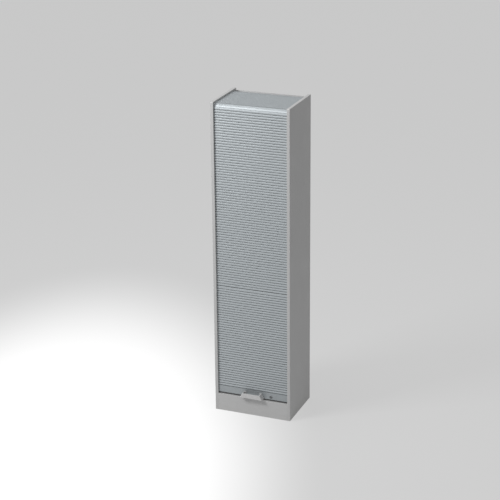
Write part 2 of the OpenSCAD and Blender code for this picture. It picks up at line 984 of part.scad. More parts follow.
module foot_bracket_screws() {
    color(metal_colour)
        both_sides()
            for (y = foot_ys)
                for (z = bracket_screw_zs)
                    rod_x([foot_x + spindle_d + set_gap, inner_x + bracket_screw_set], y, z, bracket_screw_d);
}

module access_caps() {
    color(inside_colour)
        both_sides()
            for (y = foot_ys) {
                rod_z(foot_x, y, [plinth_h, plinth_h + cap_t], cap_d);
                rod_z(foot_x, y, [bottom_z + board_t / 2, plinth_h + cap_t], cap_stem);
            }
}

left_side_panel();
right_side_panel();
left_edge_band();
right_edge_band();
top_board();
bottom_board();
plinth_front();
plinth_rear();
inner_back();
outer_back();
left_guide_track();
right_guide_track();
lower_slats();
joint_profile();
upper_slats();
front_bend_slats();
top_slats();
rear_slats();
tail_bar();
end_slat();
end_slat_gliders();
bottom_seal();
handle();
handle_screws();
lock_barrel();
lock_nut();
lock_plug();
lock_cam();
lock_bolt();
lock_case();
lock_case_screws();
strike_plate();
shelf_1();
shelf_2();
shelf_3();
shelf_4();
shelf_pins();
cams();
cam_bolts();
foot_front_left();
foot_front_right();
foot_rear_left();
foot_rear_right();
foot_brackets();
foot_bracket_screws();
access_caps();
back_screws();
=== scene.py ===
import json
import math

import bmesh
import bpy
from mathutils import Matrix, Vector


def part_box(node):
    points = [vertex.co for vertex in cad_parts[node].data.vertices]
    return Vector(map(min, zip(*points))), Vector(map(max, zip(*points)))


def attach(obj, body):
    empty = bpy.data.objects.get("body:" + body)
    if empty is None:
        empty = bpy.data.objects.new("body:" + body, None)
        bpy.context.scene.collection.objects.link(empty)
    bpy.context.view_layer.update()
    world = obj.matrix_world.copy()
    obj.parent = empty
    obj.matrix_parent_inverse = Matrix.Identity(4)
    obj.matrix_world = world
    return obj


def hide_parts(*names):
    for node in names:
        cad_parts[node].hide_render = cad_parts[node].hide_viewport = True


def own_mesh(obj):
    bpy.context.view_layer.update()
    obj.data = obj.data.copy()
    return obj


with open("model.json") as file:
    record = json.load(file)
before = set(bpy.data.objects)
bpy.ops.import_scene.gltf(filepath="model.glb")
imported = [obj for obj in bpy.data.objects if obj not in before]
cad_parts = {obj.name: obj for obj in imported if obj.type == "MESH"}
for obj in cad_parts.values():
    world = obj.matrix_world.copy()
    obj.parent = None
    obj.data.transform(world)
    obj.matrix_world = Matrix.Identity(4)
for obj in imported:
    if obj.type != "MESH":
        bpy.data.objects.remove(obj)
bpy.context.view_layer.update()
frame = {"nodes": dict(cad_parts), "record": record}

bl_info = {
    "name": "Tambour cabinet",
    "version": (1, 0, 0),
    "blender": (4, 5, 0),
    "location": "3D View > Sidebar > Cabinet",
    "description": "Builds the finished look of a tall tambour cabinet round its packed solids",
    "category": "Object",
}

BODY_OF = {node: body for body, nodes in frame["record"]["behaviour"]["bodies"].items() for node in nodes}

# Shared limits of the mesh work: distances in metres, angles, and the steps of a full turn
MERGE = 1e-6
NEAR = 10 * MERGE
FLAT = math.radians(1)
SHARP = math.radians(35)
BEVELLED = math.radians(50)
ROUND_STEPS = 32
ALONG_Y, ALONG_Z = (0, 1, 0), (0, 0, 1)


def length(name, description, default):
    return bpy.props.FloatProperty(
        name=name, description=description, default=default, precision=5, unit="LENGTH", subtype="DISTANCE")


def colour(name, description, default):
    return bpy.props.FloatVectorProperty(
        name=name, description=description, default=default, size=3, min=0, max=1, subtype="COLOR")


def setting(name, description, default, subtype="NONE"):
    return bpy.props.FloatProperty(name=name, description=description, default=default, subtype=subtype)


def triple(name, description, default, subtype="NONE"):
    return bpy.props.FloatVectorProperty(name=name, description=description, default=default, subtype=subtype)


class CabinetSizes(bpy.types.PropertyGroup):
    """Sizes of the pieces that are modelled here"""
    slat_pitch: length("Slat pitch", "Distance between the hinge lines of two slats", 0.01588)
    slat_groove: length("Slat groove", "Width of the groove between two slats", 0.0029)
    slat_crown: length("Slat crown", "Height of a slat's crown in front of its hinge line", 0.0035)
    slat_shoulder: length("Slat shoulder", "Height of a slat's front edges above its hinge line", 0.0024)
    tail_shoulder: length("Tail shoulder", "Depth of the tail bar behind its hinge line", 0.0022)
    slat_rear: length("Slat rear", "Depth of a slat behind its hinge line", 0.0033)
    slat_round: length("Slat rounding", "Radius of a slat's front edges", 0.0005)
    bead: length("Bead", "Radius of the bead on a slat's upper edge", 0.0009)
    socket_gap: length("Socket gap", "Play of a bead in its socket", 0.00025)
    socket_wall: length("Socket wall", "Wall of the socket on a slat's lower edge", 0.0006)
    neck: length("Neck", "Thickness of the neck that carries the bead", 0.0011)
    joint_height: length("Joint profile height", "Height of the profile between the two mats", 0.0205)
    joint_groove: length("Joint groove", "Groove above the joint profile", 0.0054)
    front_bend: length("Front bend", "Radius of the hinge line round the front bend", 0.0215)
    rear_bend: length("Rear bend", "Radius of the hinge line round the rear bend", 0.0315)
    board_round: length("Board rounding", "Radius of the edges of boards and shelves", 0.0006)
    panel_round: length("Panel rounding", "Radius of the side panels' edges beside their edge band", 0.0003)
    band: length("Edge band", "Thickness of the edge band", 0.0015)
    band_round: length("Band rounding", "Radius of the edge band's long edges", 0.0009)
    corner: length("Corner", "Radius of a side panel's top front corner", 0.006)
    small_round: length("Small rounding", "Radius of the edges of small moulded and metal pieces", 0.0003)
    handle_top: length("Handle top", "Half width of the handle along its upper edge", 0.0575)
    handle_wall: length("Handle wall", "Wall of the handle", 0.004)
    handle_foot: length("Handle foot", "Thickness of the handle's two feet", 0.0025)
    handle_corner: length("Handle corner", "Radius where the handle's front turns into its ends", 0.0055)
    handle_round: length("Handle rounding", "Radius of the handle's rims", 0.0011)
    thread_pitch: length("Thread pitch", "Pitch of a levelling foot's spindle", 0.00125)
    lower_count: bpy.props.IntProperty(name="Lower slats", description="Slats in the lower mat", default=41)
    upper_count: bpy.props.IntProperty(name="Upper slats", description="Slats in the upper mat", default=70)


class CabinetColours(bpy.types.PropertyGroup):
    """Colours of the finishes and of the floor"""
    board: colour("Side panels", "Light grey melamine of the sides and the back", (0.459, 0.459, 0.459))
    edge_band: colour("Edge band", "Edge band of the side panels", (0.489, 0.489, 0.489))
    plinth: colour("Plinth", "Plinth front", (0.508, 0.508, 0.508))
    inside_board: colour("Inside", "Boards and shelves of the inside", (0.46, 0.46, 0.455))
    curtain: colour("Curtain", "Silver grey slats", (0.421, 0.452, 0.47))
    # Painted shade: the end slat has the curtain's silver grey in a darker copy
    end_slat: colour("End slat", "Smooth slat at the curtain's lower end", (0.33, 0.355, 0.368))
    handle_plastic: colour("Handle", "Light grey moulded handle", (0.57, 0.57, 0.57))
    track_plastic: colour("Tracks", "Guide tracks of the curtain in the side panels", (0.4, 0.4, 0.4))
    dark_plastic: colour("Dark mouldings", "Gliders, foot brackets and lock case", (0.035, 0.036, 0.038))
    seal_rubber: colour("Seal", "Rubber lip below the end slat", (0.065, 0.065, 0.065))
    lock_metal: colour("Lock", "Dark nickel of the lock", (0.16, 0.165, 0.17))
    zinc_steel: colour("Zinc", "Zinc plated fittings", (0.52, 0.54, 0.56))
    cap_plastic: colour("Caps", "Caps over the holes of the levelling feet", (0.5, 0.5, 0.495))
    floor: colour("Floor", "Studio floor and backdrop", (0.603, 0.603, 0.603))
    # Painted light: the pool of light that the floor's colour holds and glows with, for the rays that show the floor
    floor_light: colour("Floor pool", "Brightest part of the studio floor", (1, 1, 1))


# ---- Shader node groups

FLOAT, VECTOR, COLOUR = "NodeSocketFloat", "NodeSocketVector", "NodeSocketColor"


def new_group(name, inputs, outputs):
    """An empty shader node group with its named sockets."""
    tree = bpy.data.node_groups.new(name, "ShaderNodeTree")
    for label, kind in inputs:
        tree.interface.new_socket(label, in_out="INPUT", socket_type=kind)
    for label, kind in outputs:
        tree.interface.new_socket(label, in_out="OUTPUT", socket_type=kind)
    return tree, tree.nodes.new("NodeGroupInput").outputs, tree.nodes.new("NodeGroupOutput").inputs


def fed(tree, made, inputs):
    """Gives each input of a node its link, where it is given as a socket, or its value."""
    for key, given in dict(inputs).items():
        if isinstance(given, bpy.types.NodeSocket):
            tree.links.new(given, made.inputs[key])
        else:
            made.inputs[key].default_value = given
    return made


def node(tree, kind, inputs=(), **settings):
    """Adds a node with its settings and its inputs."""
    made = tree.nodes.new("ShaderNode" + kind)
    for key, value in settings.items():
        setattr(made, key, value)
    return fed(tree, made, inputs)


def calc(tree, operation, *operands, clamp=False):
    """Result of a Math node."""
    return node(tree, "Math", dict(enumerate(operands)), operation=operation, use_clamp=clamp).outputs[0]


def shade_mix(tree, share, first, second, blend="MIX"):
    """Result of a Mix node for colours."""
    return node(tree, "Mix", {0: share, 6: first, 7: second}, data_type="RGBA", blend_type=blend).outputs[2]


def centred_noise(tree, vector, scale, detail):
    """Noise from -1 to 1."""
    noise = node(tree, "TexNoise", {"Vector": vector, "Scale": scale, "Detail": detail})
    return calc(tree, "MULTIPLY_ADD", noise.outputs["Fac"], 2, -1)


def grain_group():
    """Fine print or flake of a surface, and its slow change of tone over the whole piece."""
    tree, given, put = new_group(
        "Surface grain",
        [("Vector", VECTOR), ("Colour", COLOUR), ("Scale", FLOAT), ("Depth", FLOAT)],
        [("Colour", COLOUR), ("Height", FLOAT)])
    broad_scale, broad_share = 3.5, 0.6
    fine = centred_noise(tree, given["Vector"], given["Scale"], 3)
    broad = centred_noise(tree, given["Vector"], broad_scale, 1)
    both = calc(tree, "MULTIPLY_ADD", broad, broad_share, fine)
    tone = calc(tree, "MULTIPLY_ADD", both, given["Depth"], 1)
    tree.links.new(shade_mix(tree, 1.0, given["Colour"], tone, "MULTIPLY"), put["Colour"])
    tree.links.new(fine, put["Height"])
    return tree


def lines_group():
    """Fine parallel lines that drawing, brushing or extruding leaves along one direction."""
    tree, given, put = new_group("Drawn lines", [("Vector", VECTOR), ("Stretch", VECTOR)], [("Height", FLOAT)])
    scaled = node(tree, "VectorMath", {0: given["Vector"], 1: given["Stretch"]}, operation="MULTIPLY")
    tree.links.new(centred_noise(tree, scaled.outputs[0], 1, 2), put["Height"])
    return tree


def marks_group():
    """Soft patches where hands and cloths have rubbed a surface."""
    tree, given, put = new_group("Rubbed patches", [("Vector", VECTOR), ("Scale", FLOAT)], [("Mask", FLOAT)])
    start, span = 0.05, 0.5
    patches = centred_noise(tree, given["Vector"], given["Scale"], 4)
    above = calc(tree, "SUBTRACT", patches, start)
    tree.links.new(calc(tree, "DIVIDE", above, span, clamp=True), put["Mask"])
    return tree


def dust_group():
    """Dust and cleaning marks that thicken towards the floor."""
    tree, given, put = new_group("Floor dust", [("Vector", VECTOR), ("Reach", FLOAT)], [("Mask", FLOAT)])
    patch_scale, patch_share, patch_level = 45, 0.5, 0.6
    height = node(tree, "SeparateXYZ", {"Vector": given["Vector"]}).outputs["Z"]
    rise = calc(tree, "SUBTRACT", 1, calc(tree, "DIVIDE", height, given["Reach"], clamp=True), clamp=True)
    noise = centred_noise(tree, given["Vector"], patch_scale, 3)
    patches = calc(tree, "MULTIPLY_ADD", noise, patch_share, patch_level, clamp=True)
    squared = calc(tree, "MULTIPLY", rise, rise)
    tree.links.new(calc(tree, "MULTIPLY", squared, patches), put["Mask"])
    return tree


def painted_groove_shade_group():
    """Painted shade in the grooves of a curtain's straight front and top. There is none in its bends or on its inner
    side.
    """
    tree, given, put = new_group(
        "Groove shade",
        [("Vector", VECTOR), ("Bend", VECTOR), ("Radius", FLOAT), ("Rim", FLOAT), ("Fade", FLOAT), ("Rear", FLOAT)],
        [("Mask", FLOAT)])
    inner_side = -0.001
    here = node(tree, "SeparateXYZ", {"Vector": given["Vector"]}).outputs
    bend = node(tree, "SeparateXYZ", {"Vector": given["Bend"]}).outputs
    out = calc(tree, "MAXIMUM", calc(tree, "SUBTRACT", bend["Y"], here["Y"]), 0)
    rise = calc(tree, "MAXIMUM", calc(tree, "SUBTRACT", here["Z"], bend["Z"]), 0)
    height = calc(tree, "SUBTRACT", calc(tree, "MAXIMUM", out, rise), given["Radius"])
    straight = calc(tree, "LESS_THAN", calc(tree, "MINIMUM", out, rise), MERGE)
    shade = calc(tree, "DIVIDE", calc(tree, "SUBTRACT", given["Rim"], height), given["Fade"], clamp=True)
    outer = calc(tree, "MULTIPLY", shade, calc(tree, "GREATER_THAN", height, inner_side))
    before_rear = calc(tree, "MULTIPLY", outer, calc(tree, "LESS_THAN", here["Y"], given["Rear"]))
    tree.links.new(calc(tree, "MULTIPLY", before_rear, straight), put["Mask"])
    return tree


GROUPS = {}


def use_group(tree, maker, inputs):
    """Places a shared group, made once, in a material."""
    if maker not in GROUPS:
        GROUPS[maker] = maker()
    return node(tree, "Group", inputs, node_tree=GROUPS[maker]).outputs


# Finish of each slot, and of the end slat: roughness and how much rubbing changes it, metal, grain in grains per
# metre and its depth, stretch of the drawn lines, height of the relief in metres, reach of the dust from the floor in
# metres, and the share of its colour that the curtain loses to painted shade in its grooves
SLATS = dict(rub=0.06, metal=0.6, grain=2600, depth=0.015, lines=(3, 1600, 1600), relief=4e-6)
FINISHES = {
    "board": dict(rough=0.46, rub=0.08, grain=1400, depth=0.018, relief=2.5e-5, dust=0.25),
    "edge_band": dict(rough=0.38, rub=0.1, grain=900, depth=0.012, relief=1.2e-5, dust=0.2),
    "plinth": dict(rough=0.44, rub=0.1, grain=1400, depth=0.018, relief=2.5e-5, dust=0.12),
    "inside_board": dict(rough=0.5, rub=0.06, grain=1400, depth=0.015, relief=2.5e-5),
    "curtain": dict(SLATS, rough=0.54, groove=0.85),
    "end_slat": dict(SLATS, rough=0.5),
    "handle_plastic": dict(rough=0.34, rub=0.14, grain=2200, depth=0.01, relief=2e-5),
    "track_plastic": dict(rough=0.45, rub=0.08, grain=1800, depth=0.012, relief=2e-5),
    "dark_plastic": dict(rough=0.55, rub=0.1, grain=1800, depth=0.08, relief=3e-5),
    "seal_rubber": dict(rough=0.72, rub=0.1, grain=1200, depth=0.12, lines=(4, 1200, 1200), relief=4e-5, dust=0.13),
    "lock_metal": dict(rough=0.3, rub=0.12, metal=1, grain=2000, depth=0.06, lines=(1500, 60, 1500), relief=1e-5),
    "zinc_steel": dict(rough=0.36, rub=0.16, metal=1, grain=700, depth=0.12, lines=(900, 900, 160), relief=1e-5),
    "cap_plastic": dict(rough=0.42, rub=0.08, grain=1800, depth=0.012, relief=2e-5),
}
RUB_SCALE = 9
DUST_TONE = (0.55, 0.54, 0.52, 1)
DUST_SHARE = 0.22
MADE_FINISHES = {}


def finish(slot):
    """The material of a slot, or of the end slat, made at its first use."""
    if slot in MADE_FINISHES:
        return MADE_FINISHES[slot]
    look = FINISHES[slot]
    material = MADE_FINISHES[slot] = bpy.data.materials.new(f"{slot}_finish")
    material.use_nodes = True
    tree = material.node_tree
    tone = (*getattr(bpy.context.scene.cabinet_colours, slot), 1)
    place = node(tree, "TexCoord").outputs["Object"]
    grain = use_group(
        tree, grain_group, {"Vector": place, "Colour": tone, "Scale": look["grain"], "Depth": look["depth"]})
    base, relief = grain["Colour"], grain["Height"]
    if "lines" in look:
        lines = use_group(tree, lines_group, {"Vector": place, "Stretch": look["lines"]})["Height"]
        relief = calc(tree, "ADD", relief, lines)
        line_tone = calc(tree, "MULTIPLY_ADD", lines, look["depth"], 1)
        base = shade_mix(tree, 1.0, base, line_tone, "MULTIPLY")
    if "dust" in look:
        dust = use_group(tree, dust_group, {"Vector": place, "Reach": look["dust"]})["Mask"]
        base = shade_mix(tree, calc(tree, "MULTIPLY", dust, DUST_SHARE), base, DUST_TONE)
    # Painted shade: the curtain's colour darkens in its grooves, below its slats' front edges, where shade falls
    if "groove" in look:
        sizes = bpy.context.scene.cabinet_sizes
        run = Curtain(sizes)
        shade = use_group(tree, painted_groove_shade_group, {
            "Vector": place, "Bend": (0, run.front_y + run.front_r, run.bend_z), "Radius": run.front_r,
            "Rim": sizes.slat_shoulder, "Fade": sizes.slat_round, "Rear": run.tail_y - run.rear_r})["Mask"]
        base = shade_mix(tree, 1.0, base, calc(tree, "MULTIPLY_ADD", shade, -look["groove"], 1), "MULTIPLY")
    rubbed = use_group(tree, marks_group, {"Vector": place, "Scale": RUB_SCALE})["Mask"]
    rough = calc(tree, "MULTIPLY_ADD", rubbed, -look["rub"], look["rough"])
    bump = node(tree, "Bump", {"Strength": 1, "Distance": look["relief"], "Height": relief})
    fed(tree, tree.nodes["Principled BSDF"], {
        "Base Color": base, "Roughness": rough, "Normal": bump.outputs["Normal"], "Metallic": look.get("metal", 0)})
    return material


# ---- Mesh helpers

def placed(name, data):
    """A new object, linked to the scene."""
    made = bpy.data.objects.new(name, data)
    bpy.context.scene.collection.objects.link(made)
    return made


def add_piece(name, bm, slot, *nodes, facing=True):
    """Makes an object of a bmesh, which rides with and stands for the named CAD nodes."""
    if facing:
        bmesh.ops.recalc_face_normals(bm, faces=bm.faces)
    mesh = bpy.data.meshes.new(name)
    bm.to_mesh(mesh)
    bm.free()
    mesh.shade_smooth()
    mesh.set_sharp_from_angle(angle=SHARP)
    mesh.materials.append(finish(slot))
    piece = placed(name, mesh)
    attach(piece, BODY_OF[nodes[0]])
    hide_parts(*nodes)
    return piece


def flats_shaded_flat(piece):
    """Keeps the shading of wide flat faces even up to their rounded edges."""
    piece.modifiers.new("weighted_normals", "WEIGHTED_NORMAL").keep_sharp = True
    return piece


def arc(centre, radius, start, end, steps):
    """Points along an arc, in degrees, as (u, v)."""
    turns = [math.radians(start + (end - start) * i / steps) for i in range(steps + 1)]
    return [(centre[0] + radius * math.cos(t), centre[1] + radius * math.sin(t)) for t in turns]


def middle(low, high):
    """Middle of a box, as x, y and z."""
    return [(low[i] + high[i]) / 2 for i in range(3)]


def first_face(geometry):
    return next(g for g in geometry if isinstance(g, bmesh.types.BMFace))


def drawn_out(bm, points, travel):
    """Makes a face from points and extrudes it along a vector. Returns the far face."""
    face = bm.faces.new([bm.verts.new(p) for p in points])
    return pushed(bm, face, travel)


def pushed(bm, face, travel):
    """Extrudes a face along a vector. Returns the far face."""
    far = bmesh.ops.extrude_face_region(bm, geom=[face])["geom"]
    bmesh.ops.translate(bm, verts=[g for g in far if isinstance(g, bmesh.types.BMVert)], vec=travel)
    return first_face(far)


def across(bm, outline, place, turn, half):
    """Extrudes an outline of (u, v) right across the cabinet. In the side view u points along the angle turn."""
    c, s = math.cos(turn), math.sin(turn)
    points = [(-half, place[0] + u * c - v * s, place[1] + u * s + v * c) for u, v in outline]
    drawn_out(bm, points, (2 * half, 0, 0))


def turned(bm, profile, centre, axis, steps=ROUND_STEPS, closed=False):
    """Spins a profile of (radius, distance along the axis) round an axis. Returns its vertices."""
    axis = Vector(axis).normalized()
    side = axis.orthogonal().normalized()
    centre = Vector(centre)
    line = [bm.verts.new(centre + axis * d + side * r) for r, d in profile]
    pairs = list(zip(line, line[1:])) + ([(line[-1], line[0])] if closed else [])
    edges = [bm.edges.new(pair) for pair in pairs]
    before = set(bm.verts) - set(line)
    bmesh.ops.spin(
        bm, geom=line + edges, cent=centre, axis=axis, dvec=(0, 0, 0), angle=2 * math.pi, steps=steps, use_merge=True)
    made = [v for v in bm.verts if v not in before]
    bmesh.ops.remove_doubles(bm, verts=made, dist=MERGE)
    return [v for v in bm.verts if v.is_valid and v not in before]


def rounded(bm, edges, width, segments):
    """Rounds edges to a radius."""
    bmesh.ops.bevel(
        bm, geom=edges, offset=width, offset_type="OFFSET", segments=segments, profile=0.5, affect="EDGES",
        clamp_overlap=True, material=-1)


# Angle after which a recess repeats, and half the width of its arms as a share of its radius
RECESSES = {"cross": (math.pi / 2, 0.26), "slot": (math.pi, 0.16)}


def turned_with_recess(bm, profile, centre, axis, shape, radius, **how):
    """Spins a profile, and draws its ring of that radius in to a cross, a slot or a hexagon."""
    axis = Vector(axis).normalized()
    side = axis.orthogonal().normalized()
    other = axis.cross(side)
    for vert in turned(bm, profile, centre, axis, **how):
        out = vert.co - Vector(centre)
        along = axis * out.dot(axis)
        out -= along
        if abs(out.length - radius) > NEAR:
            continue
        turn = math.atan2(out.dot(other), out.dot(side))
        if shape == "hexagon":
            half = math.pi / 6
            reach = radius * math.cos(half) / math.cos(turn % (2 * half) - half)
        else:
            period, width = RECESSES[shape]
            part = (turn + period / 2) % period - period / 2
            reach = radius * min(1 / abs(math.cos(part)), width / max(abs(math.sin(part)), MERGE))
        vert.co = Vector(centre) + along + out.normalized() * reach


# Cross recess, rim and crown of a screw's head, as shares of its radius and of its height
CROSS_WIDE, CROSS_DEEP = 0.62, 0.55
PAN_RIM = 0.35
PAN_CROWN = ((0.78, 0.88), (0.93, 0.66))


def screw(bm, seat, head_r, head_t, shank_r, shank, flat=False):
    """A screw with a cross recess, its head to the rear. The seat is the middle of its head's underside."""
    cross_r, floor = head_r * CROSS_WIDE, head_t - head_t * CROSS_DEEP
    rim = head_t if flat else head_t * PAN_RIM
    profile = [(0, floor), (cross_r, floor), (cross_r, head_t)]
    if not flat:
        profile += [(head_r * r, head_t * t) for r, t in PAN_CROWN]
    profile += [(head_r, rim), (head_r, 0), (shank_r, 0), (shank_r, -shank + shank_r), (0, -shank)]
    turned_with_recess(bm, profile, seat, ALONG_Y, "cross", cross_r)


def screw_row(name, cad_node, low, high, places, head_r, head_t, shank_r):
    """Makes a screw at each x of places, halfway up the box of a CAD node."""
    bm = bmesh.new()
    seat = high.y - head_t
    for x in places:
        screw(bm, (x, seat, (low.z + high.z) / 2), head_r, head_t, shank_r, seat - low.y)
    add_piece(name, bm, "zinc_steel", cad_node)


def on_box_edge(edge, low, high):
    """True where both ends of an edge lie on the same two faces of the box."""
    held = 0
    for axis in range(3):
        for limit in (low, high):
            held += all(abs(v.co[axis] - limit[axis]) < NEAR for v in edge.verts)
    return held > 1


def softened(name, cad_node, slot, width, everywhere=False, segments=2):
    """A copy of a CAD node with its sharp edges rounded: all of them, or only those along the edges of its box."""
    bm = bmesh.new()
    bm.from_mesh(frame["nodes"][cad_node].data)
    bmesh.ops.remove_doubles(bm, verts=bm.verts, dist=MERGE)
    bmesh.ops.dissolve_limit(bm, angle_limit=FLAT, verts=bm.verts, edges=bm.edges)
    low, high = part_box(cad_node)
    edges = [
        e for e in bm.edges
        if e.is_manifold and e.calc_face_angle(0) > BEVELLED and (everywhere or on_box_edge(e, low, high))]
    rounded(bm, edges, width, segments)
    return flats_shaded_flat(add_piece(name, bm, slot, cad_node, facing=False))


# ---- Boards

def edge_band(bm, low, high, sizes):
    """Sweeps a rounded strip up the front of a side panel, round its corner and back along its top."""
    r, edge_steps, corner_steps = sizes.band_round, 4, 8
    left, right = low.x, high.x
    front = low.y
    section = [(right, front + sizes.band), (left, front + sizes.band)]
    section += arc((left + r, front + r), r, 180, 270, edge_steps)
    section += arc((right - r, front + r), r, 270, 360, edge_steps)
    top = high.z - sizes.corner
    face = drawn_out(bm, [(x, y, low.z) for x, y in section], (0, 0, top - low.z))
    turned_over = bmesh.ops.spin(
        bm, geom=[face], cent=(0, front + sizes.corner, top), axis=(1, 0, 0), dvec=(0, 0, 0),
        angle=-math.pi / 2, steps=corner_steps, use_merge=False)["geom_last"]
    pushed(bm, first_face(turned_over), (0, high.y - front - sizes.corner, 0))


class CABINET_OT_panels(bpy.types.Operator):
    """Side panels with their edge bands"""
    bl_idname = "cabinet.panels"
    bl_label = "Side panels"

    def execute(self, context):
        sizes = context.scene.cabinet_sizes
        for side in ("left", "right"):
            softened(f"{side}_panel_board", f"{side}_side_panel", "board", sizes.panel_round)
            band_node = f"{side}_edge_band"
            bm = bmesh.new()
            edge_band(bm, *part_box(band_node), sizes)
            flats_shaded_flat(add_piece(f"{side}_panel_banding", bm, "edge_band", band_node))
        return {"FINISHED"}


class CABINET_OT_boards(bpy.types.Operator):
    """Top, bottom, plinth and back boards"""
    bl_idname = "cabinet.boards"
    bl_label = "Boards"

    def execute(self, context):
        width = context.scene.cabinet_sizes.board_round
        softened("top_board_softened", "top_board", "inside_board", width)
        softened("bottom_board_softened", "bottom_board", "inside_board", width)
        softened("plinth_front_board", "plinth_front", "plinth", width, segments=3)
        softened("plinth_rear_board", "plinth_rear", "board", width)
        softened("inner_back_board", "inner_back", "inside_board", width)
        softened("outer_back_board", "outer_back", "board", width)
        return {"FINISHED"}


class CABINET_OT_shelves(bpy.types.Operator):
    """Shelves and the pins that carry them"""
    bl_idname = "cabinet.shelves"
    bl_label = "Shelves"

    def execute(self, context):
        sizes = context.scene.cabinet_sizes
        for shelf in range(1, 5):
            softened(f"shelf_board_{shelf}", f"shelf_{shelf}", "inside_board", sizes.board_round, segments=3)
        softened("shelf_pin_set", "shelf_pins", "zinc_steel", sizes.small_round, everywhere=True)
        return {"FINISHED"}


# ---- Curtain

def slat_outline(sizes, height, groove):
    """Outline of a slat: socket at its lower edge, crown in front, neck and bead at its upper edge."""
    gap, side = sizes.slat_groove / 2, groove / 2
    far = height - side
    neck = sizes.neck / 2
    mouth = neck + sizes.socket_gap
    hole = sizes.bead + sizes.socket_gap
    hook = hole + sizes.socket_wall
    cup = hook + sizes.socket_gap
    slant, edge_turn, crown_steps = 0.00115, 78, 6
    meet = math.degrees(math.acos(gap / hook))
    hook_mouth = 180 - math.degrees(math.asin(mouth / hook))
    hole_mouth = 180 - math.degrees(math.asin(mouth / hole))
    cup_neck = math.degrees(math.asin(neck / cup))
    bead_neck = math.degrees(math.asin(neck / sizes.bead))
    cup_top = min(math.degrees(math.acos(max(-1, -side / cup))), 180 - cup_neck)
    # Where the slanted upper flank, from the shoulder down to the rear, meets the cup round the next slat's hook
    steep = slant ** 2 + sizes.slat_rear ** 2
    share = (math.sqrt(max(0, (side * slant) ** 2 - steep * (side ** 2 - cup ** 2))) - side * slant) / steep
    cup_rear = 180 + max(cup_neck, math.degrees(math.atan2(sizes.slat_rear * share, side + slant * share)))
    points = arc((0, 0), hook, meet, hook_mouth, 4)
    points += arc((0, 0), hole, hole_mouth, -90, 7)
    points += arc((0, 0), hook, -90, -meet, 2)
    points += [(gap, -sizes.slat_rear), (far - slant, -sizes.slat_rear)]
    points += arc((height, 0), cup, cup_rear, 180 + cup_neck, 2)
    points += arc((height, 0), sizes.bead, 180 + bead_neck, 540 - bead_neck, 7)
    points += arc((height, 0), cup, 180 - cup_neck, cup_top, 2)
    shoulder = sizes.slat_shoulder - sizes.slat_round
    points += arc((far - sizes.slat_round, shoulder), sizes.slat_round, 0, edge_turn, 3)
    crown_u, crown_v = points[-1]
    centre_u = (gap + far) / 2
    for i in range(1, crown_steps):
        t = 1 - 2 * i / crown_steps
        points.append((centre_u + (crown_u - centre_u) * t, crown_v + (sizes.slat_crown - crown_v) * (1 - t * t)))
    points += arc((gap + sizes.slat_round, shoulder), sizes.slat_round, 180 - edge_turn, 180, 3)
    return points


class Curtain:
    """Where the curtain's hinge line runs in the side view, as read from the CAD nodes."""

    def __init__(self, sizes):
        self.pitch = sizes.slat_pitch
        self.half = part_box("lower_slats")[1].x
        self.front_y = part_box("lower_slats")[0].y + sizes.slat_crown
        self.top_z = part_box("top_slats")[1].z - sizes.slat_crown
        self.tail_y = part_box("tail_bar")[1].y - sizes.tail_shoulder
        self.front_r, self.rear_r = sizes.front_bend, sizes.rear_bend
        self.front_arc, self.rear_arc = self.front_r * math.pi / 2, self.rear_r * math.pi / 2
        self.top_run = self.tail_y - self.rear_r - self.front_y - self.front_r
        self.bend_z = self.top_z - self.front_r
        self.mat_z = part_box("end_slat")[1].z - sizes.bead
        self.joint_z = self.mat_z + sizes.lower_count * self.pitch
        self.upper_z = self.joint_z + sizes.joint_height
        self.end_z = self.upper_z + sizes.upper_count * self.pitch

    def path(self, s):
        """Point of the hinge line. s is 0 where the front bend starts."""
        if s < 0:
            return Vector((self.front_y, self.bend_z + s))
        if s < self.front_arc:
            a, r = s / self.front_r, self.front_r
            return Vector((self.front_y + r - r * math.cos(a), self.bend_z + r * math.sin(a)))
        s -= self.front_arc
        if s < self.top_run:
            return Vector((self.front_y + self.front_r + s, self.top_z))
        s -= self.top_run
        r = self.rear_r
        if s < self.rear_arc:
            a = s / r
            return Vector((self.tail_y - r + r * math.sin(a), self.top_z - r + r * math.cos(a)))
        return Vector((self.tail_y, self.top_z - r - (s - self.rear_arc)))

    def hinges(self):
        """Where each slat hinges, from the top of the straight mats to the tail bar, each a pitch from the last."""
        search, halvings = 1.5 * self.pitch, 40
        s = self.end_z - self.bend_z
        found = [s]
        while s <= self.front_arc + self.top_run + self.rear_arc:
            low, high = s, s + search
            for _ in range(halvings):
                half_way = (low + high) / 2
                if (self.path(half_way) - self.path(s)).length < self.pitch:
                    low = half_way
                else:
                    high = half_way
            s = low
            found.append(s)
        return found


class CABINET_OT_front_curtain(bpy.types.Operator):
    """Straight part of the curtain: two mats of slats and the profile that joins them"""
    bl_idname = "cabinet.front_curtain"
    bl_label = "Front curtain"

    def execute(self, context):
        sizes = context.scene.cabinet_sizes
        run = Curtain(sizes)
        up = math.pi / 2
        slat = slat_outline(sizes, sizes.slat_pitch, sizes.slat_groove)
        joint = slat_outline(sizes, sizes.joint_height, sizes.joint_groove)
        rows = (
            ("lower_curtain_slats", "lower_slats", slat, run.mat_z, sizes.lower_count),
            ("curtain_joint_profile", "joint_profile", joint, run.joint_z, 1),
            ("upper_curtain_slats", "upper_slats", slat, run.upper_z, sizes.upper_count))
        for name, cad_node, outline, start_z, count in rows:
            bm = bmesh.new()
            for i in range(count):
                across(bm, outline, (run.front_y, start_z + i * run.pitch), up, run.half)
            piece = add_piece(name, bm, "curtain", cad_node)
            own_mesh(piece)
        return {"FINISHED"}


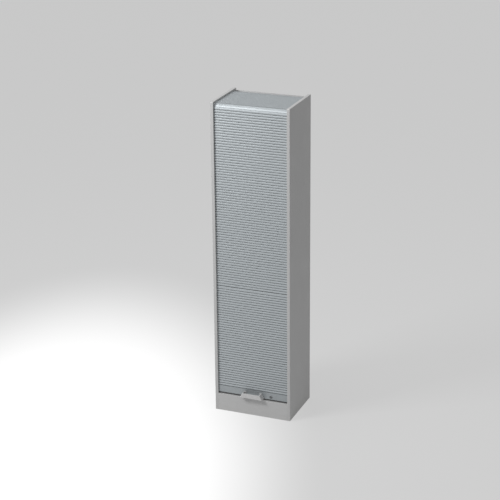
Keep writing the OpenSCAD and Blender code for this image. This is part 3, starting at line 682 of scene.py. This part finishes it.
class CABINET_OT_top_curtain(bpy.types.Operator):
    """Slats round the front bend, over the top and round the rear bend, and the tail bar"""
    bl_idname = "cabinet.top_curtain"
    bl_label = "Top curtain"

    def execute(self, context):
        sizes = context.scene.cabinet_sizes
        run = Curtain(sizes)
        hinges = run.hinges()
        bend_last = sum(s < run.front_arc for s in hinges) - 1
        top_last = sum(s < run.front_arc + run.top_run - run.pitch for s in hinges) - 1
        slat = slat_outline(sizes, sizes.slat_pitch, sizes.slat_groove)
        stretches = {
            "front_bend_slats": (0, bend_last), "top_slats": (bend_last + 1, top_last),
            "rear_slats": (top_last + 1, len(hinges) - 2)}
        for cad_node, (first, last) in stretches.items():
            bm = bmesh.new()
            for i in range(first, last + 1):
                start, end = run.path(hinges[i]), run.path(hinges[i + 1])
                across(bm, slat, start, math.atan2(end.y - start.y, end.x - start.x), run.half)
            add_piece(cad_node.replace("_slats", "_curtain_slats"), bm, "curtain", cad_node)
        softened("curtain_tail_bar", "tail_bar", "curtain", sizes.small_round)
        return {"FINISHED"}


class CABINET_OT_end_slat(bpy.types.Operator):
    """End slat with its gliders and its rubber seal"""
    bl_idname = "cabinet.end_slat"
    bl_label = "End slat"

    def execute(self, context):
        sizes = context.scene.cabinet_sizes
        profile = softened("end_slat_profile", "end_slat", "curtain", sizes.slat_round, segments=3)
        # Painted shade: the end slat takes a darker copy of the curtain's finish
        profile.data.materials[0] = finish("end_slat")
        softened("end_slat_glider_pair", "end_slat_gliders", "dark_plastic", sizes.small_round, everywhere=True)
        low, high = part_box("bottom_seal")
        y = Curtain(sizes).front_y
        wall, waist, neck, bulb_steps = 0.0025, 0.0018, 0.0016, 8
        lip_z = low.z + wall
        # Half widths of the seal and how far below its top they are
        side = [
            (neck, 0), (neck, 0.0028), (wall, 0.0032), (wall, 0.0052), (waist, 0.0058), (waist, 0.0066),
            (wall, 0.0074)]
        side = [(v, high.z - down) for v, down in side] + [(wall, lip_z)]
        bulb = arc((0, lip_z), wall, 0, -180, bulb_steps)
        outline = side + bulb[1:-1] + [(-v, z) for v, z in reversed(side)]
        bm = bmesh.new()
        drawn_out(bm, [(low.x, y + v, z) for v, z in outline], (high.x - low.x, 0, 0))
        add_piece("end_slat_lip_seal", bm, "seal_rubber", "bottom_seal")
        return {"FINISHED"}


# ---- Handle and lock

class CABINET_OT_handle(bpy.types.Operator):
    """Bow handle with its two feet, their screw bosses and the screws"""
    bl_idname = "cabinet.handle"
    bl_label = "Handle"

    def execute(self, context):
        sizes = context.scene.cabinet_sizes
        low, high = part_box("handle")
        wide, wall, corner = high.x, sizes.handle_wall, sizes.handle_corner
        inner, outer_steps, inner_steps, rim_steps = corner - wall, 6, 4, 3
        front, rear = low.y, high.y
        bow = [(-wide, rear)]
        bow += arc((-wide + corner, front + corner), corner, 180, 270, outer_steps)
        bow += arc((wide - corner, front + corner), corner, 270, 360, outer_steps)
        bow += [(wide, rear), (wide - wall, rear)]
        bow += arc((wide - wall - inner, front + wall + inner), inner, 0, -90, inner_steps)
        bow += arc((-wide + wall + inner, front + wall + inner), inner, -90, -180, inner_steps)
        bow += [(-wide + wall, rear)]
        bm = bmesh.new()
        top = drawn_out(bm, [(x, y, low.z) for x, y in bow], (0, 0, high.z - low.z))
        for vert in top.verts:
            vert.co.x -= math.copysign(wide - sizes.handle_top, vert.co.x)
        rims = [
            e for e in bm.edges
            if abs(e.verts[0].co.z - e.verts[1].co.z) < MERGE and any(v.co.y <= rear - MERGE for v in e.verts)]
        rounded(bm, rims, sizes.handle_round, rim_steps)
        for vert in bm.verts:
            vert.co.y = max(vert.co.y, front)
        screw_low, screw_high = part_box("handle_screws")
        head_r, shank_r, head_t = 0.004, 0.002, 0.0024
        screw_x, screw_z = screw_high.x - head_r, (screw_low.z + screw_high.z) / 2
        boss_r, boss_h, boss_round = 0.0045, 0.012, 0.0008
        boss = [(0, 0), (boss_r, 0), (boss_r, boss_h - boss_round), (boss_r - boss_round, boss_h), (0, boss_h)]
        foot_inner = screw_x - 2 * boss_r
        foot = [
            (foot_inner, low.z), (wide - wall / 2, low.z), (sizes.handle_top - wall / 2, high.z), (foot_inner, high.z)]
        for side in (-1, 1):
            drawn_out(bm, [(side * u, rear - sizes.handle_foot, z) for u, z in foot], (0, sizes.handle_foot, 0))
            turned(bm, boss, (side * screw_x, rear, screw_z), (0, -1, 0))
        flats_shaded_flat(add_piece("bow_handle", bm, "handle_plastic", "handle"))
        places = (-screw_x, screw_x)
        screw_row("handle_screw_pair", "handle_screws", screw_low, screw_high, places, head_r, head_t, shank_r)
        return {"FINISHED"}


class CABINET_OT_lock(bpy.types.Operator):
    """Cylinder lock, its bolt and its strike plate"""
    bl_idname = "cabinet.lock"
    bl_label = "Lock"

    def execute(self, context):
        sizes = context.scene.cabinet_sizes
        low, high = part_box("lock_barrel")
        x, _, z = middle(low, high)
        flange_r, flange_t, barrel_r, bore_r, chamfer = (high.x - low.x) / 2, 0.002, 0.008, 0.00555, 0.0006
        back = high.y - low.y
        # Face of the flange round the plug, with a fine ring cut into it
        ring = ((0, 0.0003), (0.0003, 0), (0.0009, 0), (0.0011, 0.0002), (0.0013, 0))
        profile = [(bore_r + out, deep) for out, deep in ring] + [
            (flange_r - chamfer, 0), (flange_r, chamfer), (flange_r, flange_t), (barrel_r, flange_t), (barrel_r, back),
            (bore_r, back)]
        bm = bmesh.new()
        turned(bm, profile, (x, low.y, z), ALONG_Y, closed=True)
        add_piece("lock_cylinder_barrel", bm, "lock_metal", "lock_barrel")
        small, fine = sizes.small_round, sizes.small_round / 2
        softened("lock_cylinder_plug", "lock_plug", "lock_metal", fine, everywhere=True)

        low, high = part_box("lock_nut")
        nut_r, thread_r, thick, mouth_wide, mouth_deep = (high.x - low.x) / 2, 0.00805, high.y - low.y, 0.0015, 0.0006
        nut = [
            (thread_r, 0), (nut_r, 0), (nut_r, thick), (thread_r + mouth_wide, thick), (thread_r, thick - mouth_deep)]
        bm = bmesh.new()
        turned_with_recess(bm, nut, (x, low.y, z), ALONG_Y, "hexagon", nut_r, steps=48, closed=True)
        add_piece("lock_ring_nut", bm, "zinc_steel", "lock_nut")

        softened("lock_turning_cam", "lock_cam", "zinc_steel", fine, everywhere=True)
        softened("lock_drop_bolt", "lock_bolt", "zinc_steel", small, everywhere=True)
        softened("lock_bolt_case", "lock_case", "dark_plastic", small, everywhere=True)
        softened("plinth_strike_plate", "strike_plate", "zinc_steel", fine, everywhere=True)

        low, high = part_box("lock_case_screws")
        head_r, head_t, shank_r = 0.00225, 0.0015, 0.00125
        places = (low.x + head_r, high.x - head_r)
        screw_row("lock_case_screw_pair", "lock_case_screws", low, high, places, head_r, head_t, shank_r)
        return {"FINISHED"}


# ---- Fittings and feet

SOLID_REACH = 0.03


def boxes_of(cad_node):
    """Box of each solid of a CAD node. Its solids are smaller than SOLID_REACH and lie further apart."""
    groups = []
    for corner in (v.co for v in frame["nodes"][cad_node].data.vertices):
        home = next((group for group in groups if (group[0] - corner).length < SOLID_REACH), None)
        if home is None:
            groups.append([corner.copy()])
        else:
            home.append(corner.copy())
    return [
        tuple(Vector(limit(p[i] for p in group) for i in range(3)) for limit in (min, max)) for group in groups]


class CABINET_OT_fittings(bpy.types.Operator):
    """Board fittings and the screws of the outer back"""
    bl_idname = "cabinet.fittings"
    bl_label = "Fittings"

    def execute(self, context):
        cross_r, cross_d, chamfer = 0.0042, 0.003, 0.0004
        bm = bmesh.new()
        for low, high in boxes_of("cams"):
            x, y, _ = middle(low, high)
            radius, depth = (high.x - low.x) / 2, high.z - low.z
            profile = [
                (0, cross_d), (cross_r, cross_d), (cross_r, 0), (radius - chamfer, 0), (radius, chamfer),
                (radius, depth), (0, depth)]
            turned_with_recess(bm, profile, (x, y, low.z), ALONG_Z, "cross", cross_r)
        add_piece("board_cam_set", bm, "zinc_steel", "cams")
        head_t, shank_r = 0.002, 0.00175
        bm = bmesh.new()
        for low, high in boxes_of("back_screws"):
            x, _, z = middle(low, high)
            seat = high.y - head_t
            screw(bm, (x, seat, z), (high.x - low.x) / 2, head_t, shank_r, seat - low.y, flat=True)
        add_piece("back_screw_set", bm, "zinc_steel", "back_screws")
        return {"FINISHED"}


# Outline of a levelling foot's disc: distance out from its rim, and height
DISC = (
    (-0.004, 0.0006), (-0.003, 0), (-0.0014, 0), (-0.0003, 0.0006), (0, 0.0016), (0, 0.0036), (-0.0005, 0.0044),
    (-0.004, 0.0051))


class CABINET_OT_feet(bpy.types.Operator):
    """Levelling feet with threaded spindles, their brackets and the caps over their holes"""
    bl_idname = "cabinet.feet"
    bl_label = "Feet"

    def execute(self, context):
        sizes = context.scene.cabinet_sizes
        disc_t, hub_r, hub_foot_r, hub_foot_z = 0.006, 0.0078, 0.0085, 0.0053
        core_r, crest_r, root_r, tip, key_r, key_d = 0.0034, 0.004, 0.0032, 0.0006, 0.00225, 0.006
        plain_end, spin_steps = 0.002, 12
        pitch = sizes.thread_pitch
        ridge = [(root_r, 0), (crest_r, pitch * 0.42), (crest_r, pitch * 0.52), (root_r, pitch * 0.94)]
        for corner in ("front_left", "front_right", "rear_left", "rear_right"):
            cad_node = f"foot_{corner}"
            low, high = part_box(cad_node)
            x, y, _ = middle(low, high)
            disc_r, tall = (high.x - low.x) / 2, high.z - low.z
            profile = [(0, DISC[0][1])] + [(disc_r + out, up) for out, up in DISC] + [
                (hub_foot_r, hub_foot_z), (hub_r, disc_t), (core_r, disc_t), (core_r, tall - 0.001),
                (core_r - tip, tall), (key_r, tall), (key_r, tall - key_d), (0, tall - key_d)]
            bm = bmesh.new()
            turned_with_recess(bm, profile, (x, y, low.z), ALONG_Z, "hexagon", key_r)
            start, turns = low.z + disc_t, int((tall - disc_t - plain_end) / pitch)
            face = bm.faces.new([bm.verts.new((x + r, y, start + z)) for r, z in ridge])
            bmesh.ops.spin(
                bm, geom=[face], cent=(x, y, start), axis=ALONG_Z, dvec=(0, 0, pitch / spin_steps),
                angle=2 * math.pi * turns, steps=spin_steps * turns, use_merge=False)
            add_piece(f"levelling_foot_{corner}", bm, "zinc_steel", cad_node)
        softened("foot_bracket_set", "foot_brackets", "dark_plastic", sizes.small_round, everywhere=True)
        cap_t, stem_r, stem_tip, stem_tip_h, slot_r, slot_d = 0.0015, 0.005, 0.0008, 0.0015, 0.005, 0.0006
        bm = bmesh.new()
        for low, high in boxes_of("access_caps"):
            x, y, _ = middle(low, high)
            cap_r, tall = (high.x - low.x) / 2, high.z - low.z
            profile = [
                (0, 0), (stem_r - stem_tip, 0), (stem_r, stem_tip_h), (stem_r, tall - cap_t), (cap_r, tall - cap_t),
                (cap_r - 0.0002, tall - 0.0008), (cap_r - 0.0015, tall - 0.0003), (slot_r + 0.0008, tall),
                (slot_r, tall), (slot_r, tall - slot_d), (0, tall - slot_d)]
            turned_with_recess(bm, profile, (x, y, low.z), ALONG_Z, "slot", slot_r)
        add_piece("access_cap_set", bm, "cap_plastic", "access_caps")
        return {"FINISHED"}


class CABINET_OT_finishes(bpy.types.Operator):
    """Finishes of the CAD nodes that are shown as they are"""
    bl_idname = "cabinet.finishes"
    bl_label = "Finishes"

    def execute(self, context):
        slots = {part["node"]: part["material_slot"] for part in frame["record"]["subparts"]}
        for name, cad_object in frame["nodes"].items():
            for material_slot in cad_object.material_slots:
                material_slot.material = finish(slots[name])
            if not cad_object.material_slots:
                cad_object.data.materials.append(finish(slots[name]))
        return {"FINISHED"}


# ---- Stage

class CabinetStage(bpy.types.PropertyGroup):
    """Camera and light of the studio"""
    lens: setting("Lens", "Focal length in millimetres", 112.19)
    azimuth: setting("Azimuth", "Turn of the camera round the cabinet", math.radians(22.048), "ANGLE")
    elevation: setting("Elevation", "Height of the view above level", math.radians(20.480), "ANGLE")
    roll: setting("Roll", "Roll of the camera", math.radians(-0.6083), "ANGLE")
    eye: triple("Camera", "Place of the camera", (3.2931, -8.3104, 4.3845), "TRANSLATION")
    ambient: setting("Ambient", "Light of the studio's walls", 0.43)
    key: setting("Key lamp", "Light of the lamp at the front left", 0.86)
    top: setting("Top lamp", "Light of the lamp over the top", 0.27)
    shown: setting("Floor as written", "Share of the floor's colour that shows whatever light reaches it", 0.85)
    lit: setting("Floor as lit", "Share of the floor's colour that takes light and shadow", 0.26)
    # Place and shape of the painted pool of light in the floor's colour
    pool_place: triple("Pool place", "Middle of the bright pool on the floor", (-0.779, -1.602, 0), "TRANSLATION")
    pool_reach: triple("Pool reach", "Reach of the pool across and along its long way", (1.68, 3.78, 1))
    pool_turn: setting("Pool turn", "Turn of the pool", 0.31, "ANGLE")
    pool_edge: setting("Pool edge", "Share of the reach that the pool's soft edge takes", 0.561)


# Name, place, width and setting of each lamp, and where they all point
LAMPS = (("key_lamp", (-2.2, -2.4, 3.4), 1.3, "key"), ("top_lamp", (-0.2, -0.3, 4.5), 1.2, "top"))
LAMP_AIM = (0, 0, 1.95)
FLOOR_RADIUS, FLOOR_STEPS = 60, 64


def lamp(name, place, aim, size, level):
    """A square soft lamp whose light on a white surface at its aim, square to it, renders at the level."""
    data = bpy.data.lights.new(name, "AREA")
    data.shape = "SQUARE"
    data.size = size
    way = Vector(aim) - Vector(place)
    data.energy = level * (math.pi * way.length) ** 2
    made = placed(name, data)
    made.location = place
    made.rotation_mode = "QUATERNION"
    made.rotation_quaternion = way.to_track_quat("-Z", "Y")


def shown_rays(tree):
    """1 for the rays that show a surface: from the camera, in a reflection or through glass."""
    rays = node(tree, "LightPath").outputs
    direct = calc(tree, "MAXIMUM", rays["Is Camera Ray"], rays["Is Glossy Ray"])
    return calc(tree, "MAXIMUM", direct, rays["Is Transmission Ray"])


class CABINET_OT_stage(bpy.types.Operator):
    """Pale floor, soft light and camera"""
    bl_idname = "cabinet.stage"
    bl_label = "Stage"

    def execute(self, context):
        scene = context.scene
        stage, colours = scene.cabinet_stage, scene.cabinet_colours
        self.floor(stage, colours)
        for name, place, size, level in LAMPS:
            lamp(name, place, LAMP_AIM, size, getattr(stage, level))
        self.walls(scene, stage, colours)
        self.camera(scene, stage)
        scene.view_settings.view_transform = "Standard"
        return {"FINISHED"}

    def floor(self, stage, colours):
        """A floor that shows a soft painted pool of light much as written, as a glow in its colour, and keeps a faint
        shadow.
        """
        bm = bmesh.new()
        bmesh.ops.create_circle(bm, cap_ends=True, segments=FLOOR_STEPS, radius=FLOOR_RADIUS)
        mesh = bpy.data.meshes.new("studio_floor")
        bm.to_mesh(mesh)
        bm.free()
        material = bpy.data.materials.new("studio_floor")
        material.use_nodes = True
        tree = material.node_tree
        tree.nodes.clear()
        place = node(tree, "TexCoord").outputs["Object"]
        # Painted pool of light: the floor's colour brightens towards the middle of a soft oval, and glows for the rays
        # that show it
        moved = node(tree, "Mapping", {
            "Vector": place, "Location": stage.pool_place, "Rotation": (0, 0, stage.pool_turn),
            "Scale": stage.pool_reach}, vector_type="TEXTURE")
        pool = node(tree, "TexGradient", {"Vector": moved.outputs[0]}, gradient_type="SPHERICAL")
        share = node(
            tree, "MapRange", {"Value": pool.outputs["Fac"], "From Max": stage.pool_edge},
            interpolation_type="SMOOTHSTEP")
        tone = shade_mix(tree, share.outputs[0], (*colours.floor, 1), (*colours.floor_light, 1))
        lit_tone = shade_mix(tree, 1.0, tone, (stage.lit, stage.lit, stage.lit, 1), "MULTIPLY")
        shown = node(tree, "Emission", {"Color": tone, "Strength": stage.shown})
        lit = node(tree, "BsdfDiffuse", {"Color": lit_tone})
        both = node(tree, "AddShader", {0: shown.outputs[0], 1: lit.outputs[0]})
        bounce = node(tree, "BsdfDiffuse", {"Color": (*colours.floor, 1)})
        mixed = node(tree, "MixShader", {0: shown_rays(tree), 1: bounce.outputs[0], 2: both.outputs[0]})
        node(tree, "OutputMaterial", {"Surface": mixed.outputs[0]})
        mesh.materials.append(material)
        floor = placed("studio_floor", mesh)

    def walls(self, scene, stage, colours):
        """The surroundings: one grey for what sees them, and their light on what they light."""
        world = bpy.data.worlds.new("studio_walls")
        world.use_nodes = True
        tree = world.node_tree
        tree.nodes.clear()
        walls = node(tree, "Background", {"Color": (*colours.floor, 1), "Strength": 1})
        light = node(tree, "Background", {"Color": (1, 1, 1, 1), "Strength": stage.ambient})
        mixed = node(tree, "MixShader", {0: shown_rays(tree), 1: light.outputs[0], 2: walls.outputs[0]})
        node(tree, "OutputWorld", {"Surface": mixed.outputs[0]})
        scene.world = world

    def camera(self, scene, stage):
        """The camera of the photo, turned round its own view by the roll."""
        a, e, roll = stage.azimuth, stage.elevation, stage.roll
        back = Vector((math.sin(a) * math.cos(e), -math.cos(a) * math.cos(e), math.sin(e)))
        right = (-back).cross(Vector((0, 0, 1))).normalized()
        up = right.cross(-back)
        x_axis = right * math.cos(roll) + up * math.sin(roll)
        y_axis = up * math.cos(roll) - right * math.sin(roll)
        data = bpy.data.cameras.new("camera")
        data.lens = stage.lens
        camera = placed("camera", data)
        camera.matrix_world = Matrix.Translation(stage.eye) @ Matrix((x_axis, y_axis, back)).transposed().to_4x4()
        scene.camera = camera


# ---- Add-on

PIECES = (
    CABINET_OT_panels, CABINET_OT_boards, CABINET_OT_shelves, CABINET_OT_front_curtain, CABINET_OT_top_curtain,
    CABINET_OT_end_slat, CABINET_OT_handle, CABINET_OT_lock, CABINET_OT_fittings, CABINET_OT_feet,
    CABINET_OT_finishes, CABINET_OT_stage)
GROUPS_OF_PROPERTIES = {
    "cabinet_sizes": CabinetSizes, "cabinet_colours": CabinetColours, "cabinet_stage": CabinetStage}


class CABINET_PT_sidebar(bpy.types.Panel):
    """Lists the pieces of the cabinet, its sizes and its colours"""
    bl_idname = "CABINET_PT_sidebar"
    bl_label = "Tambour cabinet"
    bl_space_type = "VIEW_3D"
    bl_region_type = "UI"
    bl_category = "Cabinet"

    def draw(self, context):
        for piece in PIECES:
            self.layout.operator(piece.bl_idname)
        for name in GROUPS_OF_PROPERTIES:
            box = self.layout.box()
            held = getattr(context.scene, name)
            for key in held.bl_rna.properties.keys():
                if key not in ("rna_type", "name"):
                    box.prop(held, key)


def register():
    for made in (*GROUPS_OF_PROPERTIES.values(), *PIECES, CABINET_PT_sidebar):
        bpy.utils.register_class(made)
    for name, held in GROUPS_OF_PROPERTIES.items():
        setattr(bpy.types.Scene, name, bpy.props.PointerProperty(type=held))


def unregister():
    for name in GROUPS_OF_PROPERTIES:
        delattr(bpy.types.Scene, name)
    for made in (CABINET_PT_sidebar, *reversed(PIECES), *GROUPS_OF_PROPERTIES.values()):
        bpy.utils.unregister_class(made)


def main():
    register()
    for piece in PIECES:
        getattr(bpy.ops.cabinet, piece.bl_idname.split(".")[1])()


if __name__ == "__main__":
    main()
